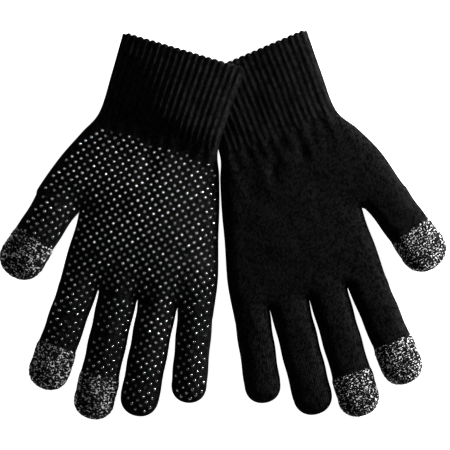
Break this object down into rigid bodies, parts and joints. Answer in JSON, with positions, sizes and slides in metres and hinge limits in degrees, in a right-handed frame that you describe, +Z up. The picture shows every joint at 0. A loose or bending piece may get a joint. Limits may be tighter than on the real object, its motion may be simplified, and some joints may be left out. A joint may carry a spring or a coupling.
{
  "type": "touchscreen gloves",
  "caption": "Pair of knitted gloves lying flat, ribbed cuffs crossing, grip dots on the palms and conductive fingertips; fingers, thumbs and wrists fold.",
  "frame": {"origin": "under the middle of the pair, on the surface the gloves lie on", "axes": "+Z up out of the surface, +Y from the fingers towards the cuffs, +X from the palm-up glove towards the back-up glove"},
  "size_m": [0.2818, 0.2466, 0.0172],
  "materials": {
    "plain_knit": "plain knitted black acrylic yarn, slightly hairy",
    "rib_knit": "ribbed knitted black acrylic yarn",
    "hem_knit": "bound-off black knit edge",
    "conductive_knit": "marled grey and black knit with conductive yarn",
    "silicone_dots": "glossy black silicone domes",
    "elastic_yarn": "covered elastic yarn"
  },
  "bodies": {
    "palm_up_cuff_body": {"palm_up_cuff": "rib_knit", "palm_up_cuff_hem": "hem_knit", "palm_up_cuff_elastic": "elastic_yarn"},
    "palm_up_hand_body": {"palm_up_hand": "plain_knit", "palm_up_palm_dots": "silicone_dots"},
    "palm_up_thumb_base_body": {"palm_up_thumb_base": "plain_knit", "palm_up_thumb_base_dots": "silicone_dots"},
    "palm_up_thumb_end_body": {"palm_up_thumb_end": "plain_knit", "palm_up_thumb_end_dots": "silicone_dots", "palm_up_thumb_conductive_tip": "conductive_knit"},
    "palm_up_index_base_body": {"palm_up_index_base": "plain_knit", "palm_up_index_base_dots": "silicone_dots"},
    "palm_up_index_end_body": {"palm_up_index_end": "plain_knit", "palm_up_index_end_dots": "silicone_dots", "palm_up_index_conductive_tip": "conductive_knit"},
    "palm_up_middle_base_body": {"palm_up_middle_base": "plain_knit", "palm_up_middle_base_dots": "silicone_dots"},
    "palm_up_middle_end_body": {"palm_up_middle_end": "plain_knit", "palm_up_middle_end_dots": "silicone_dots", "palm_up_middle_conductive_tip": "conductive_knit"},
    "palm_up_ring_base_body": {"palm_up_ring_base": "plain_knit", "palm_up_ring_base_dots": "silicone_dots"},
    "palm_up_ring_end_body": {"palm_up_ring_end": "plain_knit", "palm_up_ring_end_dots": "silicone_dots"},
    "palm_up_little_base_body": {"palm_up_little_base": "plain_knit", "palm_up_little_base_dots": "silicone_dots"},
    "palm_up_little_end_body": {"palm_up_little_end": "plain_knit", "palm_up_little_end_dots": "silicone_dots"},
    "back_up_cuff_body": {"back_up_cuff": "rib_knit", "back_up_cuff_hem": "hem_knit", "back_up_cuff_elastic": "elastic_yarn"},
    "back_up_hand_body": {"back_up_hand": "plain_knit", "back_up_palm_dots": "silicone_dots"},
    "back_up_thumb_base_body": {"back_up_thumb_base": "plain_knit", "back_up_thumb_base_dots": "silicone_dots"},
    "back_up_thumb_end_body": {"back_up_thumb_end": "plain_knit", "back_up_thumb_end_dots": "silicone_dots", "back_up_thumb_conductive_tip": "conductive_knit"},
    "back_up_index_base_body": {"back_up_index_base": "plain_knit", "back_up_index_base_dots": "silicone_dots"},
    "back_up_index_end_body": {"back_up_index_end": "plain_knit", "back_up_index_end_dots": "silicone_dots", "back_up_index_conductive_tip": "conductive_knit"},
    "back_up_middle_base_body": {"back_up_middle_base": "plain_knit", "back_up_middle_base_dots": "silicone_dots"},
    "back_up_middle_end_body": {"back_up_middle_end": "plain_knit", "back_up_middle_end_dots": "silicone_dots", "back_up_middle_conductive_tip": "conductive_knit"},
    "back_up_ring_base_body": {"back_up_ring_base": "plain_knit", "back_up_ring_base_dots": "silicone_dots"},
    "back_up_ring_end_body": {"back_up_ring_end": "plain_knit", "back_up_ring_end_dots": "silicone_dots"},
    "back_up_little_base_body": {"back_up_little_base": "plain_knit", "back_up_little_base_dots": "silicone_dots"},
    "back_up_little_end_body": {"back_up_little_end": "plain_knit", "back_up_little_end_dots": "silicone_dots"}
  },
  "joints": [
    {"name": "palm_up_wrist_fold", "type": "hinge", "parent": "palm_up_cuff_body", "child": "palm_up_hand_body", "pos_m": [-0.04368, 0.05338, 0.011], "axis": [-0.9532, 0.3024, 0], "range_deg": [0, 75]},
    {"name": "palm_up_thumb_knuckle", "type": "hinge", "parent": "palm_up_hand_body", "child": "palm_up_thumb_base_body", "pos_m": [-0.10434, 0.01501, 0.011], "axis": [-0.848, 0.5299, 0], "range_deg": [0, 70]},
    {"name": "palm_up_thumb_fold", "type": "hinge", "parent": "palm_up_thumb_base_body", "child": "palm_up_thumb_end_body", "pos_m": [-0.11494, -0.00195, 0.011], "axis": [-0.848, 0.5299, 0], "range_deg": [0, 70]},
    {"name": "palm_up_index_knuckle", "type": "hinge", "parent": "palm_up_hand_body", "child": "palm_up_index_base_body", "pos_m": [-0.09059, -0.0381, 0.011], "axis": [-0.9466, 0.3223, 0], "range_deg": [0, 70]},
    {"name": "palm_up_index_fold", "type": "hinge", "parent": "palm_up_index_base_body", "child": "palm_up_index_end_body", "pos_m": [-0.09961, -0.0646, 0.011], "axis": [-0.9466, 0.3223, 0], "range_deg": [0, 70]},
    {"name": "palm_up_middle_knuckle", "type": "hinge", "parent": "palm_up_hand_body", "child": "palm_up_middle_base_body", "pos_m": [-0.06641, -0.04517, 0.011], "axis": [-0.9774, 0.2113, 0], "range_deg": [0, 70]},
    {"name": "palm_up_middle_fold", "type": "hinge", "parent": "palm_up_middle_base_body", "child": "palm_up_middle_end_body", "pos_m": [-0.07317, -0.07645, 0.011], "axis": [-0.9774, 0.2113, 0], "range_deg": [0, 70]},
    {"name": "palm_up_ring_knuckle", "type": "hinge", "parent": "palm_up_hand_body", "child": "palm_up_ring_base_body", "pos_m": [-0.0415, -0.05061, 0.011], "axis": [-0.9839, 0.1788, 0], "range_deg": [0, 70]},
    {"name": "palm_up_ring_fold", "type": "hinge", "parent": "palm_up_ring_base_body", "child": "palm_up_ring_end_body", "pos_m": [-0.04668, -0.07914, 0.011], "axis": [-0.9839, 0.1788, 0], "range_deg": [0, 70]},
    {"name": "palm_up_little_knuckle", "type": "hinge", "parent": "palm_up_hand_body", "child": "palm_up_little_base_body", "pos_m": [-0.01752, -0.05389, 0.011], "axis": [-0.9969, 0.0785, 0], "range_deg": [0, 70]},
    {"name": "palm_up_little_fold", "type": "hinge", "parent": "palm_up_little_base_body", "child": "palm_up_little_end_body", "pos_m": [-0.0194, -0.07782, 0.011], "axis": [-0.9969, 0.0785, 0], "range_deg": [0, 70]},
    {"name": "back_up_wrist_fold", "type": "hinge", "parent": "back_up_cuff_body", "child": "back_up_hand_body", "pos_m": [0.03866, 0.0555, 0.011], "axis": [-0.9298, -0.3681, 0], "range_deg": [0, 75]},
    {"name": "back_up_thumb_knuckle", "type": "hinge", "parent": "back_up_hand_body", "child": "back_up_thumb_base_body", "pos_m": [0.10185, 0.02146, 0.011], "axis": [-0.809, -0.5878, 0], "range_deg": [0, 70]},
    {"name": "back_up_thumb_fold", "type": "hinge", "parent": "back_up_thumb_base_body", "child": "back_up_thumb_end_body", "pos_m": [0.11361, 0.00528, 0.011], "axis": [-0.809, -0.5878, 0], "range_deg": [0, 70]},
    {"name": "back_up_index_knuckle", "type": "hinge", "parent": "back_up_hand_body", "child": "back_up_index_base_body", "pos_m": [0.09183, -0.03248, 0.011], "axis": [-0.9219, -0.3875, 0], "range_deg": [0, 70]},
    {"name": "back_up_index_fold", "type": "hinge", "parent": "back_up_index_base_body", "child": "back_up_index_end_body", "pos_m": [0.10268, -0.05829, 0.011], "axis": [-0.9219, -0.3875, 0], "range_deg": [0, 70]},
    {"name": "back_up_middle_knuckle", "type": "hinge", "parent": "back_up_hand_body", "child": "back_up_middle_base_body", "pos_m": [0.06821, -0.04122, 0.011], "axis": [-0.9603, -0.279, 0], "range_deg": [0, 70]},
    {"name": "back_up_middle_fold", "type": "hinge", "parent": "back_up_middle_base_body", "child": "back_up_middle_end_body", "pos_m": [0.07713, -0.07194, 0.011], "axis": [-0.9603, -0.279, 0], "range_deg": [0, 70]},
    {"name": "back_up_ring_knuckle", "type": "hinge", "parent": "back_up_hand_body", "child": "back_up_ring_base_body", "pos_m": [0.04373, -0.04838, 0.011], "axis": [-0.969, -0.247, 0], "range_deg": [0, 70]},
    {"name": "back_up_ring_fold", "type": "hinge", "parent": "back_up_ring_base_body", "child": "back_up_ring_end_body", "pos_m": [0.0509, -0.07649, 0.011], "axis": [-0.969, -0.247, 0], "range_deg": [0, 70]},
    {"name": "back_up_little_knuckle", "type": "hinge", "parent": "back_up_hand_body", "child": "back_up_little_base_body", "pos_m": [0.02004, -0.05333, 0.011], "axis": [-0.989, -0.1478, 0], "range_deg": [0, 70]},
    {"name": "back_up_little_fold", "type": "hinge", "parent": "back_up_little_base_body", "child": "back_up_little_end_body", "pos_m": [0.02359, -0.07706, 0.011], "axis": [-0.989, -0.1478, 0], "range_deg": [0, 70]},
    {"name": "gloves_part", "type": "slide", "parent": "back_up_cuff_body", "child": "palm_up_cuff_body", "axis": [0, 0, 1], "range_m": [0, 0.15]}
  ]
}
